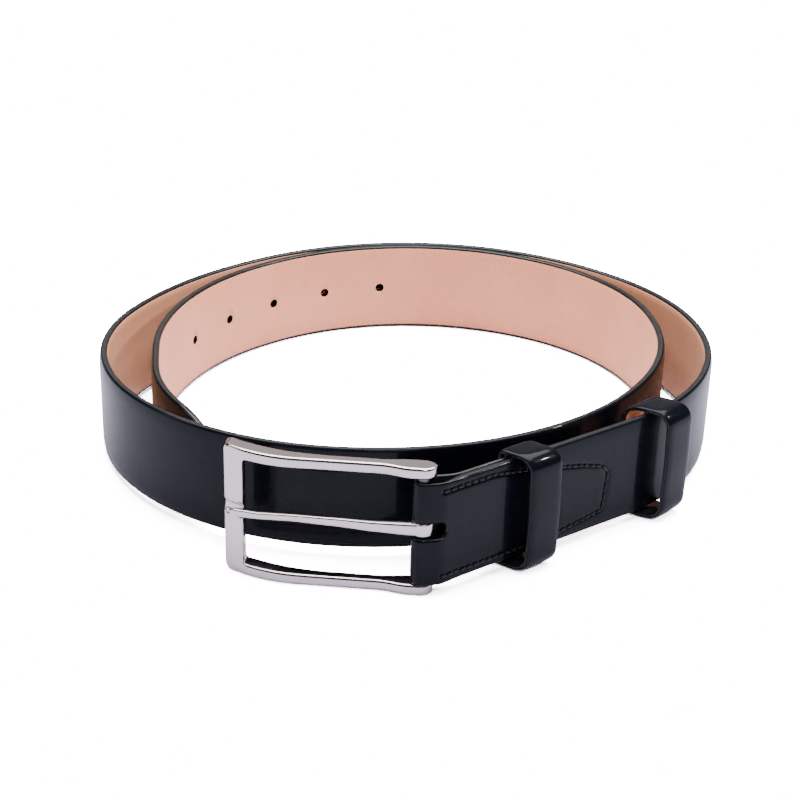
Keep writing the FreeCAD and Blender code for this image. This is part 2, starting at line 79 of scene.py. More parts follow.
SLOT_HALF, SLOT_END, SLOT_RISE = 3.0, 5.4, 1.6
PRONG_RISE, TIP_DROP, PRONG_TIP = 2.0, 0.9, -59.0
# The frame: where its front starts to bow, the bow's radius, the lobe at the heel.
BOW_START, BOW_RADIUS, FRONT_SET = 38.0, 41.5, 1.0
LOBE_X, LOBE = 0.2, 3.45
# How far back from its end the tip starts to narrow.
TIP_REACH = 23.5


def lift(y):
    """Height of the strap's lower edge above the table."""
    return max(LIFT_SLOPE * (LIFT_ENDS_Y - y), 0.0)


def smooth(t):
    """Eases 0..1 with a level start and end."""
    t = min(max(t, 0.0), 1.0)
    return t * t * (3 - 2 * t)


# ---------------------------------------------------------------- the route of the patent face
def tab_point(along, across):
    """A point in the tab's frame: along it from the heel bar, across it towards the coil."""
    c, s = math.cos(TAB_HEADING), math.sin(TAB_HEADING)
    return Vector((HEEL.x + along * c - across * s, HEEL.y + along * s + across * c, 0.0))


class Route:
    """Straight runs and tangent arcs; a point is given by its distance and an offset to the left."""

    def __init__(self, start, heading):
        self.legs, self.point, self.heading, self.length = [], start, heading, 0.0

    def straight(self, length):
        self.legs.append((self.length, self.point.copy(), self.heading, 0.0))
        self.point = self.point + Vector((math.cos(self.heading), math.sin(self.heading), 0)) * length
        self.length += length

    def turn(self, radius, sweep):
        self.legs.append((self.length, self.point.copy(), self.heading, radius))
        left = Vector((-math.sin(self.heading), math.cos(self.heading), 0))
        centre = self.point + left * radius
        self.heading += sweep
        self.point = centre - Vector((-math.sin(self.heading), math.cos(self.heading), 0)) * radius
        self.length += radius * sweep

    def at(self, distance, offset=0.0):
        leg = self.legs[0]
        for candidate in self.legs:
            if candidate[0] <= distance:
                leg = candidate
        begun, point, heading, radius = leg
        past = distance - begun
        left = Vector((-math.sin(heading), math.cos(heading), 0))
        if radius == 0.0:
            along = Vector((math.cos(heading), math.sin(heading), 0))
            return point + along * past + left * offset, heading
        now = heading + past / radius
        return (point + left * radius
                - Vector((-math.sin(now), math.cos(now), 0)) * (radius - offset)), now


def strap_route():
    """The whole route, the distance where the fold ends, and the distance level with the heel bar."""
    fold = BAR_RADIUS + BAR_CLEARANCE + OUTER
    back_face = OUTER + LAYER_GAP + THICKNESS - TAB_FRONT
    cosine, sine = math.cos(SLANT), math.sin(SLANT)
    front_run = (TAB_FRONT - fold * cosine - FRONT_BEND * (1 - cosine)) / sine
    back_run = (fold * cosine - back_face - BACK_BEND * (1 - cosine)) / sine
    back_bend = fold * sine + back_run * cosine + BACK_BEND * sine
    front_bend = -fold * sine + front_run * cosine + FRONT_BEND * sine
    route = Route(tab_point(TURN_BACK_END, back_face), TAB_HEADING + math.pi)
    route.straight(TURN_BACK_END - back_bend)
    route.turn(-BACK_BEND, -SLANT)
    route.straight(back_run)
    route.turn(fold, math.pi)
    route.straight(front_run)
    route.turn(FRONT_BEND, SLANT)
    ends = route.length
    route.straight(TAB_STRAIGHT + TAB_START - front_bend)
    for radius, degrees in COIL_ARCS:
        route.turn(radius + THICKNESS / 2, math.radians(degrees))
    return route, ends, ends - front_bend


ROUTE, FOLD_END, BAR_AT = strap_route()
TIP_AT = ROUTE.length


# ---------------------------------------------------------------- mesh helpers
def mesh_object(name, points, faces, material, smooth_faces=True):
    mesh = bpy.data.meshes.new(name)
    mesh.from_pydata([Vector(p) * 0.001 for p in points], [], faces)
    mesh.validate()
    mesh.update()
    obj = bpy.data.objects.new(name, mesh)
    bpy.context.scene.collection.objects.link(obj)
    mesh.materials.append(material)
    work = bmesh.new()
    work.from_mesh(mesh)
    bmesh.ops.recalc_face_normals(work, faces=work.faces)
    work.to_mesh(mesh)
    work.free()
    for polygon in mesh.polygons:
        polygon.use_smooth = smooth_faces
    return obj


def loft(name, rings, material, caps=True, closed=False):
    """Skin over rings of equal length; a closed loft joins the last ring to the first."""
    count = len(rings[0])
    points = [p for ring in rings for p in ring]
    faces = []
    last = len(rings) if closed else len(rings) - 1
    for i in range(last):
        a, b = i * count, ((i + 1) % len(rings)) * count
        for j in range(count):
            k = (j + 1) % count
            faces.append((a + j, a + k, b + k, b + j))
    if caps and not closed:
        faces.append(tuple(range(count - 1, -1, -1)))
        faces.append(tuple(range((len(rings) - 1) * count, len(rings) * count)))
    return mesh_object(name, points, faces, material)


def join(objects, name):
    for obj in bpy.context.selected_objects:
        obj.select_set(False)
    for obj in objects:
        obj.select_set(True)
    bpy.context.view_layer.objects.active = objects[0]
    bpy.ops.object.join()
    objects[0].name = name
    return objects[0]


def cut(obj, cutter):
    """Boolean difference, applied; the callers remove the cutter afterwards."""
    modifier = obj.modifiers.new("cut", "BOOLEAN")
    modifier.operation = "DIFFERENCE"
    modifier.solver = "EXACT"
    modifier.object = cutter
    bpy.context.view_layer.objects.active = obj
    bpy.ops.object.modifier_apply(modifier=modifier.name)


def cylinder(radius, depth, place, axis, sides=32):
    """A cutter: a cylinder of a given depth centred on a place."""
    turn = Vector((0, 0, 1)).rotation_difference(axis).to_matrix().to_4x4()
    ring = [Vector((radius * math.cos(a), radius * math.sin(a), 0))
            for a in [2 * math.pi * i / sides for i in range(sides)]]
    rings = [[place + turn @ (p + Vector((0, 0, z))) for p in ring] for z in (-depth / 2, depth / 2)]
    return loft("cutter", rings, MATERIALS["edge"])


def remove(obj):
    bpy.data.objects.remove(obj)


# ---------------------------------------------------------------- materials
def principled(name, colour, roughness, metallic=0.0, coat=0.0, coat_roughness=0.03, ior=1.5, sheen=0.0):
    material = bpy.data.materials.new(name)
    material.use_nodes = True
    shader = material.node_tree.nodes["Principled BSDF"]
    shader.inputs["Base Color"].default_value = (*colour, 1.0)
    shader.inputs["Roughness"].default_value = roughness
    shader.inputs["Metallic"].default_value = metallic
    shader.inputs["IOR"].default_value = ior
    shader.inputs["Coat Weight"].default_value = coat
    shader.inputs["Coat Roughness"].default_value = coat_roughness
    shader.inputs["Sheen Weight"].default_value = sheen
    return material, shader


def noise(material, scale, detail=4.0, rough=0.55, stretch=None):
    tree = material.node_tree
    coordinates = tree.nodes.new("ShaderNodeTexCoord")
    texture = tree.nodes.new("ShaderNodeTexNoise")
    texture.inputs["Scale"].default_value = scale
    texture.inputs["Detail"].default_value = detail
    texture.inputs["Roughness"].default_value = rough
    if stretch:
        mapping = tree.nodes.new("ShaderNodeMapping")
        mapping.inputs["Scale"].default_value = stretch
        tree.links.new(coordinates.outputs["Object"], mapping.inputs["Vector"])
        tree.links.new(mapping.outputs["Vector"], texture.inputs["Vector"])
    else:
        tree.links.new(coordinates.outputs["Object"], texture.inputs["Vector"])
    return texture


def cells(material, scale):
    tree = material.node_tree
    coordinates = tree.nodes.new("ShaderNodeTexCoord")
    texture = tree.nodes.new("ShaderNodeTexVoronoi")
    texture.inputs["Scale"].default_value = scale
    tree.links.new(coordinates.outputs["Object"], texture.inputs["Vector"])
    return texture


def bump(material, shader, layers, sockets=("Normal",)):
    """Chains height textures, as (output socket, distance in metres, strength), into the normal."""
    tree, previous = material.node_tree, None
    for output, distance, strength in layers:
        node = tree.nodes.new("ShaderNodeBump")
        node.inputs["Distance"].default_value = distance
        node.inputs["Strength"].default_value = strength
        tree.links.new(output, node.inputs["Height"])
        if previous:
            tree.links.new(previous.outputs["Normal"], node.inputs["Normal"])
        previous = node
    for socket in sockets:
        tree.links.new(previous.outputs["Normal"], shader.inputs[socket])


def tint(material, shader, texture, low, high, socket="Base Color", start=0.35, end=0.65):
    tree = material.node_tree
    ramp = tree.nodes.new("ShaderNodeValToRGB")
    ramp.color_ramp.elements[0].position, ramp.color_ramp.elements[1].position = start, end
    ramp.color_ramp.elements[0].color = (*low, 1.0)
    ramp.color_ramp.elements[1].color = (*high, 1.0)
    tree.links.new(texture.outputs[0], ramp.inputs["Fac"])
    tree.links.new(ramp.outputs["Color"], shader.inputs[socket])


def make_materials():
    made = {}
    patent, shader = principled("patent leather", (0.002, 0.0025, 0.005), 0.30, coat=0.27)
    shader.inputs["Specular IOR Level"].default_value = 0.04
    shader.inputs["Coat IOR"].default_value = 1.33
    wave, grain = noise(patent, 55.0, 2.0), noise(patent, 1100.0, 3.0)
    bump(patent, shader, [(wave.outputs[0], 0.0005, 0.10), (grain.outputs[0], 0.00003, 0.04)],
         ("Normal", "Coat Normal"))
    tint(patent, shader, noise(patent, 300.0), (0.0015, 0.002, 0.004), (0.0025, 0.003, 0.006))
    made["patent"] = patent
    # Black edge paint on the rims of the strap and the keepers. The keepers' linings also use it as
    # painted shade inside their loops.
    edge, shader = principled("edge paint and painted shade", (0.006, 0.006, 0.008), 0.30, coat=0.2, coat_roughness=0.15)
    shader.inputs["Specular IOR Level"].default_value = 0.2
    bump(edge, shader, [(noise(edge, 420.0).outputs[0], 0.0002, 0.35)], ("Normal", "Coat Normal"))
    tint(edge, shader, noise(edge, 240.0), (0.004, 0.004, 0.005), (0.010, 0.010, 0.012))
    made["edge"] = edge
    lining, shader = principled("tan lining", (0.92, 0.38, 0.205), 0.55, sheen=0.05)
    pores, blotch = cells(lining, 1500.0), noise(lining, 38.0, 5.0, 0.6)
    bump(lining, shader, [(pores.outputs[0], 0.00009, 0.35),
                          (noise(lining, 420.0).outputs[0], 0.00012, 0.3)])
    tint(lining, shader, blotch, (0.89, 0.355, 0.185), (0.96, 0.41, 0.23), start=0.3, end=0.7)
    made["lining"] = lining
    loop, shader = principled("keeper lining", (0.60, 0.42, 0.34), 0.55, sheen=0.05)
    bump(loop, shader, [(cells(loop, 1500.0).outputs[0], 0.00009, 0.35)])
    tint(loop, shader, noise(loop, 60.0), (0.56, 0.385, 0.305), (0.64, 0.45, 0.37))
    made["keeper_lining"] = loop
    metal, shader = principled("polished nickel", (0.53, 0.46, 0.465), 0.14, metallic=1.0)
    brushed = noise(metal, 260.0, 3.0, 0.5, stretch=(1.0, 1.0, 14.0))
    bump(metal, shader, [(brushed.outputs[0], 0.00003, 0.12)])
    tint(metal, shader, noise(metal, 90.0), (0.11, 0.11, 0.11), (0.19, 0.19, 0.19), "Roughness")
    made["metal"] = metal
    # The heel bar is the buckle's own nickel. Its dark colour is painted shade for the shadowed slot it
    # sits in.
    pin, shader = principled("heel bar nickel painted dark as slot shade", (0.10, 0.095, 0.10), 0.30, metallic=1.0)
    bump(pin, shader, [(noise(pin, 500.0).outputs[0], 0.00003, 0.2)])
    tint(pin, shader, noise(pin, 120.0), (0.25, 0.25, 0.25), (0.38, 0.38, 0.38), "Roughness")
    made["pin"] = pin
    thread, shader = principled("black waxed thread", (0.003, 0.003, 0.004), 0.38)
    shader.inputs["Specular IOR Level"].default_value = 0.25
    tree = thread.node_tree
    coordinates, twist = tree.nodes.new("ShaderNodeTexCoord"), tree.nodes.new("ShaderNodeTexWave")
    twist.inputs["Scale"].default_value = 900.0
    twist.bands_direction = "DIAGONAL"
    tree.links.new(coordinates.outputs["Object"], twist.inputs["Vector"])
    bump(thread, shader, [(twist.outputs[0], 0.00015, 0.6)])
    made["thread"] = thread
    hole, shader = principled("punched hole wall", (0.05, 0.03, 0.025), 0.7)
    bump(hole, shader, [(noise(hole, 900.0).outputs[0], 0.0002, 0.5)])
    made["hole"] = hole
    return made


MATERIALS = make_materials()

# ---------------------------------------------------------------- the strap
# Profile of a rim, as (depth from the patent face, distance in from the strap's edge).
RIM = [(0.50, 0.50), (0.72, 0.20), (1.02, 0.05), (1.35, 0.0), (1.75, 0.02), (2.15, 0.09), (2.5, 0.2),
       (2.78, 0.45)]
SHELL = 2.78
EDGE_ROWS = [0.75, 1.1, 1.45] + [1.8 + 0.35 * i for i in range(35)] + [14.3, 15.0, 16.2]
# The seam, as (distance along the tab from the heel bar, height above the strap's lower edge).
SEAM = [(3.5, 32.0), (22.0, 32.2), (34.0, 30.5), (50.0, 27.0), (60.0, 24.8), (68.0, 22.2), (71.0, 19.6),
        (70.3, 12.5), (69.5, 6.0), (60.0, 4.6), (52.0, 3.6), (34.0, 3.0), (3.5, 2.8)]
SEAM_WIDTH, SEAM_DEPTH = 0.85, 0.50


def half_width(distance):
    """Half of the strap's width: the turned-back end and the tip are narrower."""
    full = STRAP_WIDTH / 2
    if distance < FOLD_END - 30:
        back = TURN_BACK_END - distance
        share = (back - TURN_BACK_TAPER) / (TURN_BACK_END - TURN_BACK_TAPER)
        return full + min(max(share, 0.0), 1.0) * (TURN_BACK_WIDTH / 2 - full)
    left = TIP_AT - distance
    if left < TIP_REACH:
        return max(full * (1 - (1 - left / TIP_REACH) ** 2.4) ** 0.62, 0.6)
    return full


def shell_depth(distance):
    """Thickness of the shell under the patent face: one layer in the fold, all of them in the strap."""
    return OUTER + (SHELL - OUTER) * smooth((distance - FOLD_END + 3) / 11)


def seam_distance(along, height):
    """How far a place on the tab is from the seam."""
    nearest = 99.0
    for (a0, h0), (a1, h1) in zip(SEAM, SEAM[1:]):
        da, dh = a1 - a0, h1 - h0
        t = ((along - a0) * da + (height - h0) * dh) / (da * da + dh * dh)
        t = min(max(t, 0.0), 1.0)
        nearest = min(nearest, math.hypot(along - a0 - t * da, height - h0 - t * dh))
    return nearest


def seam_groove(distance, height):
    """Depth of the sunken channel that the stitches lie in."""
    along = distance - BAR_AT
    if along < 1.0 or along > TURN_BACK_END + 2:
        return 0.0
    off = seam_distance(along, height + STRAP_WIDTH / 2)
    return SEAM_DEPTH * math.exp(-(off / SEAM_WIDTH) ** 2) * smooth((along - 1.0) / 3)


def across_strap(distance, outline):
    """Points of a section of the strap, from (depth from the patent face, height above its middle)."""
    ring = []
    for n, height in outline:
        point, _ = ROUTE.at(distance, n)
        ring.append(Vector((point.x, point.y, lift(point.y) + STRAP_WIDTH / 2 + height)))
    return ring


def strap_ring(distance):
    """One section of the patent shell."""
    depth, half = shell_depth(distance), half_width(distance)
    squeeze = depth / SHELL
    wide = half / (STRAP_WIDTH / 2)
    outline = []
    heights = [-half + r * wide for r in EDGE_ROWS] + [half - r * wide for r in reversed(EDGE_ROWS)]
    for n, d in reversed(RIM):
        outline.append((n * squeeze, -half + d * wide))
    for height in heights:
        edge = half - abs(height)
        crown = 0.55 * max(0.0, 1 - edge / 5.5) ** 2.4 * squeeze
        outline.append((crown + seam_groove(distance, height), height))
    for n, d in RIM:
        outline.append((n * squeeze, half - d * wide))
    return across_strap(distance, outline)


def stations(begin, end):
    """Distances along the route: close together in the tab, the fold and the tip."""
    found, here = [], begin
    while here < end - 1e-6:
        found.append(here)
        if 70 < here < FOLD_END + 2:
            here += 0.45
        elif here < 70 or TIP_AT - here < 26 or here < BAR_AT + 78:
            here += 0.6
        else:
            here += 1.6
    found.append(end)
    return found


def lining_ring(distance):
    """One section of the lining: a thin sheet on the shell's inner side."""
    half = half_width(distance)
    near = SHELL - 0.25
    far = near + (THICKNESS - near) * (0.3 + 0.7 * smooth((distance - FOLD_END - 5) / 5))
    outline = [(near, -half + 1.3), (far - 0.1, -half + 1.25), (far, -half + 1.45)]
    outline += [(far, -half + (2 * half) * t) for t in (0.1, 0.2, 0.35, 0.5, 0.65, 0.8, 0.9)]
    outline += [(far, half - 1.15), (far - 0.1, half - 0.95), (near, half - 1.0)]
    return across_strap(distance, outline)


def make_strap():
    shell = loft("strap_shell", [strap_ring(s) for s in stations(0.0, TIP_AT)], MATERIALS["patent"])
    lining = loft("strap_lining_skin", [lining_ring(s) for s in stations(FOLD_END + 5, TIP_AT - 0.8)],
                  MATERIALS["lining"])
    shell.data.materials.append(MATERIALS["edge"])
    count = 2 * (len(RIM) + len(EDGE_ROWS))
    for index, polygon in enumerate(shell.data.polygons):
        row = index % count
        if row < len(RIM) - 3 or row > count - len(RIM) + 1:
            polygon.material_index = 1
    cutters = []
    for index in range(HOLE_COUNT):
        point, heading = ROUTE.at(BAR_AT + FIRST_HOLE + index * HOLE_PITCH, THICKNESS / 2)
        inward = Vector((-math.sin(heading), math.cos(heading), 0))
        cutters.append(cylinder(HOLE_RADIUS, 8.0, point + Vector((0, 0, STRAP_WIDTH / 2)), inward))
    holes = join(cutters, "hole_cutters")
    holes.data.materials.clear()
    holes.data.materials.append(MATERIALS["hole"])
    cut(shell, holes)
    cut(lining, holes)
    remove(holes)
    slot = slot_cutter()
    cut(shell, slot)
    remove(slot)
    return shell, lining


def slot_cutter():
    """The opening in the fold that the prong swings in."""
    half, end = SLOT_HALF, SLOT_END
    outline = [(-8.0, -half), (end - half, -half)]
    outline += [(end - half + half * math.sin(a), -half * math.cos(a)) for a in
                [math.pi * i / 16 for i in range(1, 16)]]
    outline += [(end - half, half), (-8.0, half)]
    rings = []
    for across in (-8.0, 8.0):
        rings.append([tab_point(a, across) + Vector((0, 0, MIDDLE + SLOT_RISE + z)) for a, z in outline])
    return loft("slot_cutter", rings, MATERIALS["edge"])


strap_shell, strap_lining_skin = make_strap()


# ---------------------------------------------------------------- the stitching
def capsule(length, radius, bow=0.0):
    """Rings of one stitch along X, thicker in its middle."""
    rings = []
    for i in range(9):
        t = -1 + 2 * i / 8
        r = radius * max(1 - abs(t) ** 3, 0.05) ** 0.5
        rings.append([Vector((t * length / 2, r * math.cos(a) - bow * t * t, r * math.sin(a)))
                      for a in [2 * math.pi * k / 8 for k in range(8)]])
    return rings


def make_stitches():
    """Thread stitches along the seam, on the patent face and through the turned-back end."""
    points, faces, pitch = [], [], 2.4
    for (a0, h0), (a1, h1) in zip(SEAM, SEAM[1:]):
        run = math.hypot(a1 - a0, h1 - h0)
        count = max(int(run / pitch), 1)
        for index in range(count):
            part = (index + 0.5) / count
            along, height = a0 + (a1 - a0) * part, h0 + (h1 - h0) * part
            slope = math.atan2(h1 - h0, a1 - a0) + random.uniform(-0.12, 0.12)
            for back in (False, True):
                if back and along < 16:
                    continue
                centre, heading = ROUTE.at(BAR_AT + along, 0.34)
                if back:
                    centre = tab_point(along, THICKNESS + LAYER_GAP + OUTER - TAB_FRONT)
                turn = Matrix.Rotation(heading, 4, "Z") @ Matrix.Rotation(-slope, 4, "Y")
                base = len(points)
                z = lift(centre.y) + height + random.uniform(-0.08, 0.08)
                for ring in capsule(run / count * 0.84, 0.46, 0.2 if not back else -0.2):
                    points.extend([centre + Vector((0, 0, z)) + turn @ p for p in ring])
                for i in range(8):
                    for j in range(8):
                        a, b = base + i * 8, base + (i + 1) * 8
                        faces.append((a + j, a + (j + 1) % 8, b + (j + 1) % 8, b + j))
    return mesh_object("seam_stitches", points, faces, MATERIALS["thread"])


stitches = make_stitches()


# ---------------------------------------------------------------- the buckle
def buckle_place(x, y, z):
    """From the buckle's own frame (X along it from the heel bar, front towards -Y) to the CAD frame."""
    c, s = math.cos(BUCKLE_HEADING), math.sin(BUCKLE_HEADING)
    return Vector((HEEL.x + x * c - y * s, HEEL.y + x * s + y * c, z))


def front_face(x):
    """Depth of the frame's front at a place along the buckle."""
    past = max(-x - BOW_START, 0.0)
    return BOW_RADIUS - math.sqrt(max(BOW_RADIUS * BOW_RADIUS - past * past, 0.0)) - FRONT_SET


def frame_depths(x):
    """Front and back of an arm: bowed at the front bar, slim in the middle, a lobe at the heel."""
    front, back = front_face(x), 3.0
    if x < -27.0:
        back = 3.0 + smooth((-27.0 - x) / 33.0) * 2.6 + max(front + FRONT_SET, 0.0) * 0.82
    if x > -13.0:
        share = smooth((x + 13.0) / 9.5)
        front += share * (-2.55 - front)
        back += share * (4.0 - back)
    if x > LOBE_X - 0.6:
        t = min((x - LOBE_X + 0.6) / (LOBE + 0.6), 1.0)
        room = math.sqrt(max(1 - t * t, 0.0))
        middle = 0.72
        front, back = middle - 3.3 * room, middle + 3.3 * room
    return front, back


def frame_ring(inner, outer, radius=0.9, notch=0.0):
    """A section of the frame between an inner and an outer point of its front view, edges rounded."""
    ring = []
    width = math.hypot(outer[0] - inner[0], outer[1] - inner[1])
    ux, uz = (outer[0] - inner[0]) / width, (outer[1] - inner[1]) / width
    mid_front, mid_back = frame_depths((inner[0] + outer[0]) / 2)
    r = min(radius, width * 0.45, max(mid_back - mid_front, 0.02) * 0.45)
    corners = [(False, False), (True, False), (True, True), (False, True)]
    for index, (at_outer, at_back) in enumerate(corners):
        for step in range(5):
            a = math.pi / 8 * (step if index % 2 == 0 else 4 - step)
            du, dy = r - r * math.cos(a), r - r * math.sin(a)
            u = width - du if at_outer else du
            x, z = inner[0] + ux * u, inner[1] + uz * u
            front, back = frame_depths(x)
            ring.append(buckle_place(x, back - dy if at_back else front + dy + notch, z))
    return ring


def front_view():
    """Pairs of inner and outer points from the lobe along the lower arm to the front bar's middle."""
    pairs = []
    z_out, z_in = 0.0, ARM_HEIGHT
    lobe_end = LOBE_X + LOBE
    for i in range(13):
        x = lobe_end - 0.02 - 4.0 * (1 - math.cos(math.pi / 2 * i / 12))
        pairs.append(((x, z_in + 0.15), (x, z_out)))
    x = pairs[-1][0][0]
    while x > -BUCKLE_LENGTH + 7.6:
        x -= 0.9
        swell = 0.25 * smooth((-x - 30) / 24)
        pairs.append(((x, z_in + swell + 0.15 * smooth((x + 12) / 12)), (x, z_out)))
    inner_corner = (-BUCKLE_LENGTH + 6.5, ARM_HEIGHT + 0.3)
    for i in range(1, 10):
        a = math.pi / 2 * i / 10
        outer_r, inner_r = 2.4, 0.9
        outer = (-BUCKLE_LENGTH + outer_r - outer_r * math.sin(a), outer_r - outer_r * math.cos(a))
        inner = (inner_corner[0] + inner_r - inner_r * math.sin(a),
                 inner_corner[1] + inner_r - inner_r * math.cos(a))
        pairs.append((inner, outer))
    z = 2.6
    while z < BUCKLE_HEIGHT / 2 - 0.2:
        inner_z = max(z, ARM_HEIGHT + 0.3 + 0.95 + (z - 2.6) * 0.9)
        inner_z = inner_z + (z - inner_z) * smooth((z - 2.6) / 10)
        pairs.append(((-BUCKLE_LENGTH + 6.4, inner_z), (-BUCKLE_LENGTH, z)))
        z += 0.5
    return pairs


def make_buckle():
    lower = front_view()
    upper = [((i[0], BUCKLE_HEIGHT - i[1]), (o[0], BUCKLE_HEIGHT - o[1])) for i, o in reversed(lower)]
    rings = []
    for inner, outer in lower + upper:
        z = (inner[1] + outer[1]) / 2
        notch = 0.0
        if (inner[0] + outer[0]) / 2 < -BUCKLE_LENGTH + 5:
            notch = 1.5 * math.exp(-((z - MIDDLE - PRONG_RISE + TIP_DROP) / 1.9) ** 4)
        rings.append(frame_ring(inner, outer, notch=notch))
    return loft("buckle_body", rings, MATERIALS["metal"])


def prong_shape(x):
    """Front, back and half height of the prong at a place along the buckle."""
    rest = front_face(PRONG_TIP + 3.0)
    nodes = [(0.0, -3.3, -0.6, 2.0), (-5.0, -3.2, -0.5, 1.95), (-14.0, -2.7, -0.2, 1.65),
             (-27.0, -1.2, 0.9, 1.35), (-40.0, -0.1, 1.8, 1.1), (-50.0, rest - 3.1, rest - 0.9, 1.1),
             (-56.0, rest - 2.2, rest - 0.1, 1.3), (PRONG_TIP, rest - 1.6, rest + 0.1, 1.2)]
    for (x0, *a), (x1, *b) in zip(nodes, nodes[1:]):
        if x >= x1:
            t = smooth((x0 - x) / (x0 - x1)) * 0.35 + 0.65 * (x0 - x) / (x0 - x1)
            return [p + (q - p) * t for p, q in zip(a, b)]
    return nodes[-1][1:]


def make_prong():
    rings = []
    places = [-0.6 * i for i in range(97)] + [-58.2 - 0.15 * i for i in range(6)]
    for x in places:
        front, back, half = prong_shape(x)
        left = x - PRONG_TIP
        end = math.sqrt(max(1 - (1 - min(left / 1.9, 1.0)) ** 2, 0.02))
        middle, thick = (front + back) / 2, (back - front) / 2 * end
        half *= end
        ring = []
        for k in range(24):
            a = 2 * math.pi * k / 24
            c, s = math.cos(a), math.sin(a)
            power = 0.45
            y = middle + thick * math.copysign(abs(c) ** power, c)
            z = MIDDLE + PRONG_RISE + TIP_DROP * x / -PRONG_TIP + half * math.copysign(abs(s) ** power, s)
            ring.append(buckle_place(x, y, z))
        rings.append(ring)
    finger = loft("prong_finger", rings, MATERIALS["metal"])
    outline = [(2.1, -2.1), (3.2, -2.1), (3.42, -1.95), (3.5, -1.7), (3.5, 1.7), (3.42, 1.95), (3.2, 2.1),
               (2.1, 2.1)]
    rings = []
    for k in range(48):
        a = 2 * math.pi * k / 48
        rings.append([HEEL + Vector((r * math.cos(a), r * math.sin(a), MIDDLE + PRONG_RISE + z))
                      for r, z in outline])
    ring = loft("prong_ring", rings, MATERIALS["metal"], closed=True)
    return join([finger, ring], "prong_body")


buckle_body = make_buckle()
prong_body = make_prong()


# ---------------------------------------------------------------- the keepers
KEEPER_WIDTH, BAND, BAND_LINING, KEEPER_BOTTOM = 12.0, 1.0, 0.6, 0.1


def loop_path(front, back, bottom, top, front_radius, back_radius, bulge):
    """Points and outward directions round a band's loop, seen along the strap."""
    path = []
    corners = [(front, bottom, math.pi, front_radius), (back, bottom, -math.pi / 2, back_radius),
               (back, top, 0.0, back_radius), (front, top, math.pi / 2, front_radius)]
    for (n, z, start, radius), (sn, sz) in zip(corners, [(1, 1), (-1, 1), (-1, -1), (1, -1)]):
        centre = (n + sn * radius, z + sz * radius)
        for i in range(9):
            a = start + math.pi / 2 * i / 8
            path.append(((centre[0] + radius * math.cos(a), centre[1] + radius * math.sin(a)),
                         (math.cos(a), math.sin(a))))
    full = []
    for index, (point, normal) in enumerate(path):
        full.append((point, normal))
        if index % 9 == 8:
            following = path[(index + 1) % len(path)][0]
            for i in range(1, 16):
                t = i / 16
                p = [a + (b - a) * t for a, b in zip(point, following)]
                sag = bulge * math.sin(math.pi * t) ** 2 * (1.0 if index == 35 else 0.0)
                full.append(((p[0] + normal[0] * sag, p[1] + normal[1] * sag), normal))
    return full


def band_ring(place, point, normal, inner, outer, half, crown):
    """A section across a band, from its inner to its outer offset, with soft edges."""
    outline = [(-half + 0.12, inner), (-half, inner + 0.2), (-half, (inner + outer) / 2)]
    for t in (-1.0, -0.96, -0.88, -0.75, -0.5, 0.0, 0.5, 0.75, 0.88, 0.96, 1.0):
        set_back = crown * abs(t) ** 6
        outline.append((t * (half - 0.05 * (abs(t) > 0.99)), outer - set_back))
    outline += [(half, (inner + outer) / 2), (half, inner + 0.2), (half - 0.12, inner)]
    return [place(x, point[0] + normal[0] * d, point[1] + normal[1] * d) for x, d in outline]


# The inside of a loop is tan at the back and along the top. Down its front and its bottom, the same tan
# lining takes the black edge material as painted shade, where the loop's inside lies in shadow.
def make_keeper(name, where, front_gap, back_gap, strap_back, top_gap, skew, front_radius, back_radius):
    origin, heading = ROUTE.at(BAR_AT + where)
    half = KEEPER_WIDTH / 2
    bottom, top = KEEPER_BOTTOM + BAND + BAND_LINING, lift(origin.y) + STRAP_WIDTH + top_gap
    along = Vector((math.cos(heading), math.sin(heading), 0))
    across = Vector((-math.sin(heading), math.cos(heading), 0))

    def place(x, n, z):
        return origin + along * (x - skew * n) + across * n + Vector((0, 0, z))

    walls = BAND + BAND_LINING
    back = strap_back + back_gap
    path = loop_path(-front_gap, back, bottom, top, front_radius - walls, back_radius - walls, 0.25)
    outer, inner = [], []
    for point, normal in path:
        outer.append(band_ring(place, point, normal, 0.12, walls, half, 0.45))
        inner.append(band_ring(place, point, normal, 0.0, BAND_LINING, half - 1.3, 0.0))
    band = loft(name + "_band", outer, MATERIALS["patent"], closed=True)
    band.data.materials.append(MATERIALS["edge"])
    count = len(outer[0])
    for index, polygon in enumerate(band.data.polygons):
        if index % count < 2 or index % count > count - 4:
            polygon.material_index = 1
    lining = loft(name + "_lining_skin", inner, MATERIALS["keeper_lining"], closed=True)
    # Painted shade: the lining's front and bottom faces take the black edge material. It stands in for
    # the shadow inside the loop.
    lining.data.materials.append(MATERIALS["edge"])
    for index, polygon in enumerate(lining.data.polygons):
        if not 28 <= index // len(inner[0]) < 66:
            polygon.material_index = 1
    rings = []
    for ring in capsule(7.0, 0.36, 0.3):
        rings.append([place(p.x, back + walls + p.y + 0.12, (bottom + top) / 2 + p.z) for p in ring])
    staple = loft(name + "_staple_wire", rings, MATERIALS["metal"])
    return band, lining, staple


TAB_BACK = THICKNESS + LAYER_GAP + OUTER
fixed = make_keeper("fixed_keeper", 36.8, 4.8, 0.35, TAB_BACK, 0.8, 0.35, 5.6, 2.2)
free = make_keeper("free_keeper", 93.8, 5.4, 5.6, THICKNESS, 0.7, 0.3, 5.8, 6.2)

